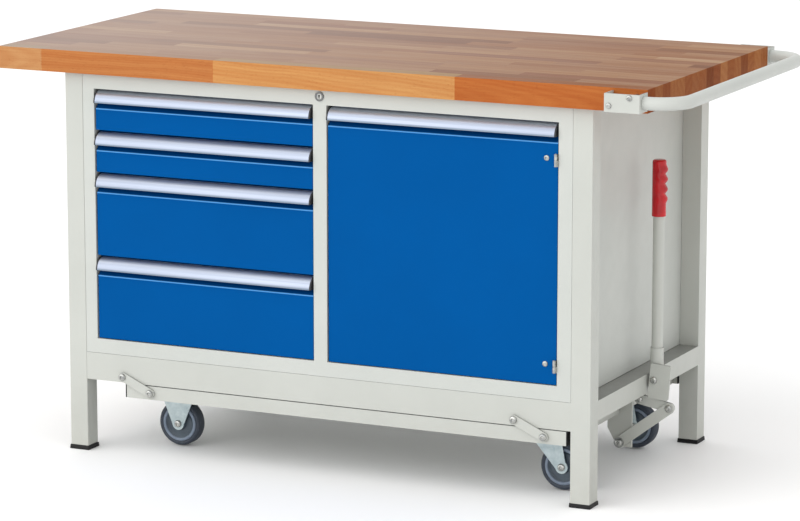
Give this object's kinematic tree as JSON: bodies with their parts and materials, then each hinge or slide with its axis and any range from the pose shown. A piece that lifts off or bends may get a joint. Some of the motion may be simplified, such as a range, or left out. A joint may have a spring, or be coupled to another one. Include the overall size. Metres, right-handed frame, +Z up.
{
  "type": "mobile workbench",
  "caption": "Mobile workbench with a solid beech worktop, drawers beside a hinged door, a push handle, and castors that a hand lever swings down to lift it.",
  "frame": {"origin": "on the floor, under the middle of the bounding box of worktop and push handle", "axes": "+X towards the push handle and lever end, -Y towards the user at the drawer fronts, +Z up"},
  "size_m": [1.5894, 0.795, 0.88],
  "materials": {
    "beech": "oiled edge-glued beech",
    "frame_grey": "light grey powder coat",
    "cabinet_grey": "light grey powder coat",
    "front_blue": "blue powder coat",
    "grip_aluminium": "anodised aluminium with black end caps",
    "zinc": "bright zinc plate",
    "black_plastic": "matt black plastic",
    "wheel_rubber": "grey rubber tread on a grey plastic centre",
    "grip_red": "glossy red plastic"
  },
  "bodies": {
    "bench": {"worktop": "beech", "side_frame_left": "frame_grey", "side_frame_right": "frame_grey", "foot_plugs": "black_plastic", "front_rail": "frame_grey", "rear_rail": "frame_grey", "cabinet_sides": "cabinet_grey", "cabinet_top": "cabinet_grey", "cabinet_bottom": "cabinet_grey", "cabinet_back": "cabinet_grey", "cabinet_divider": "cabinet_grey", "cabinet_front_frame": "cabinet_grey", "lock_barrel": "zinc", "drawer_runners": "zinc", "hinge_frame_leaves": "zinc", "push_handle": "frame_grey", "push_handle_brackets": "frame_grey", "push_handle_screws": "zinc", "bench_pivot_bolts": "zinc"},
    "lock": {"lock_core": "zinc"},
    "door": {"door_panel": "front_blue", "door_grip": "grip_aluminium", "door_hinge_leaves": "zinc", "door_screws": "zinc"},
    "lever": {"lever_bracket": "frame_grey", "lever_tube": "frame_grey", "lever_grip": "grip_red", "lever_bolts": "zinc"},
    "front_left_link": {"link_front_left": "frame_grey"},
    "front_right_link": {"link_front_right": "frame_grey"},
    "rear_left_link": {"link_rear_left": "frame_grey"},
    "rear_right_link": {"link_rear_right": "frame_grey"},
    "undercarriage": {"castor_frame": "frame_grey", "castor_frame_caps": "black_plastic", "hanging_plate": "frame_grey", "frame_pivot_bolts": "zinc", "castor_fixed_forks": "zinc", "castor_swivel_plates": "zinc", "fixed_castor_axles": "zinc"},
    "drag": {"drag_link": "frame_grey"},
    "front_swivel": {"castor_fork_front": "zinc", "castor_axle_front": "zinc"},
    "rear_swivel": {"castor_fork_rear": "zinc", "castor_axle_rear": "zinc"},
    "front_left_wheel": {"wheel_front_left": "wheel_rubber"},
    "rear_left_wheel": {"wheel_rear_left": "wheel_rubber"},
    "front_right_wheel": {"wheel_front_right": "wheel_rubber"},
    "rear_right_wheel": {"wheel_rear_right": "wheel_rubber"},
    "drawer_1": {"drawer_box_1": "cabinet_grey", "drawer_front_1": "front_blue", "drawer_grip_1": "grip_aluminium"},
    "drawer_2": {"drawer_box_2": "cabinet_grey", "drawer_front_2": "front_blue", "drawer_grip_2": "grip_aluminium"},
    "drawer_3": {"drawer_box_3": "cabinet_grey", "drawer_front_3": "front_blue", "drawer_grip_3": "grip_aluminium"},
    "drawer_4": {"drawer_box_4": "cabinet_grey", "drawer_front_4": "front_blue", "drawer_grip_4": "grip_aluminium"}
  },
  "joints": [
    {"name": "drawer_1_slide", "type": "slide", "parent": "bench", "child": "drawer_1", "axis": [0, -1, 0], "range_m": [0, 0.45]},
    {"name": "drawer_2_slide", "type": "slide", "parent": "bench", "child": "drawer_2", "axis": [0, -1, 0], "range_m": [0, 0.45]},
    {"name": "drawer_3_slide", "type": "slide", "parent": "bench", "child": "drawer_3", "axis": [0, -1, 0], "range_m": [0, 0.45]},
    {"name": "drawer_4_slide", "type": "slide", "parent": "bench", "child": "drawer_4", "axis": [0, -1, 0], "range_m": [0, 0.45]},
    {"name": "door_swing", "type": "hinge", "parent": "bench", "child": "door", "pos_m": [0.50125, -0.334, 0.525], "axis": [0, 0, 1], "range_deg": [0, 100]},
    {"name": "lock_turn", "type": "hinge", "parent": "bench", "child": "lock", "pos_m": [-0.03375, -0.33, 0.81625], "axis": [0, 1, 0], "range_deg": [0, 90]},
    {"name": "lever_swing", "type": "hinge", "parent": "bench", "child": "lever", "pos_m": [0.56225, 0, 0.164], "axis": [0, 1, 0], "range_deg": [0, 70]},
    {"name": "front_left_link_swing", "type": "hinge", "parent": "bench", "child": "front_left_link", "pos_m": [-0.51018, -0.33, 0.17327], "axis": [0, 1, 0], "range_deg": [0, 64.5]},
    {"name": "front_right_link_swing", "type": "hinge", "parent": "bench", "child": "front_right_link", "pos_m": [0.41182, -0.33, 0.17327], "axis": [0, 1, 0], "range_deg": [0, 64.5]},
    {"name": "rear_left_link_swing", "type": "hinge", "parent": "bench", "child": "rear_left_link", "pos_m": [-0.51018, 0.33, 0.17327], "axis": [0, 1, 0], "range_deg": [0, 64.5]},
    {"name": "rear_right_link_swing", "type": "hinge", "parent": "bench", "child": "rear_right_link", "pos_m": [0.41182, 0.33, 0.17327], "axis": [0, 1, 0], "range_deg": [0, 64.5]},
    {"name": "undercarriage_level", "type": "hinge", "parent": "front_left_link", "child": "undercarriage", "pos_m": [-0.44375, -0.33, 0.143], "axis": [0, 1, 0], "range_deg": [-64.5, 0]},
    {"name": "drag_link_pivot", "type": "hinge", "parent": "lever", "child": "drag", "pos_m": [0.63125, -0.0175, 0.151], "axis": [0, 1, 0], "range_deg": [-63.45, 0]},
    {"name": "front_swivel_turn", "type": "hinge", "parent": "undercarriage", "child": "front_swivel", "pos_m": [0.43525, -0.2, 0.118], "axis": [0, 0, 1], "continuous": true},
    {"name": "rear_swivel_turn", "type": "hinge", "parent": "undercarriage", "child": "rear_swivel", "pos_m": [0.43525, 0.2, 0.118], "axis": [0, 0, 1], "continuous": true},
    {"name": "front_left_wheel_spin", "type": "hinge", "parent": "undercarriage", "child": "front_left_wheel", "pos_m": [-0.43775, -0.2, 0.052], "axis": [0, 1, 0], "continuous": true},
    {"name": "rear_left_wheel_spin", "type": "hinge", "parent": "undercarriage", "child": "rear_left_wheel", "pos_m": [-0.43775, 0.2, 0.052], "axis": [0, 1, 0], "continuous": true},
    {"name": "front_right_wheel_spin", "type": "hinge", "parent": "front_swivel", "child": "front_right_wheel", "pos_m": [0.47125, -0.2, 0.052], "axis": [0, 1, 0], "continuous": true},
    {"name": "rear_right_wheel_spin", "type": "hinge", "parent": "rear_swivel", "child": "rear_right_wheel", "pos_m": [0.47125, 0.2, 0.052], "axis": [0, 1, 0], "continuous": true}
  ],
  "couplings": [
    {"joint": "front_left_link_swing", "follows": "lever_swing", "ratio": 0.92},
    {"joint": "front_right_link_swing", "follows": "lever_swing", "ratio": 0.92},
    {"joint": "rear_left_link_swing", "follows": "lever_swing", "ratio": 0.92},
    {"joint": "rear_right_link_swing", "follows": "lever_swing", "ratio": 0.92},
    {"joint": "undercarriage_level", "follows": "lever_swing", "ratio": -0.92},
    {"joint": "drag_link_pivot", "follows": "lever_swing", "ratio": -0.905}
  ]
}
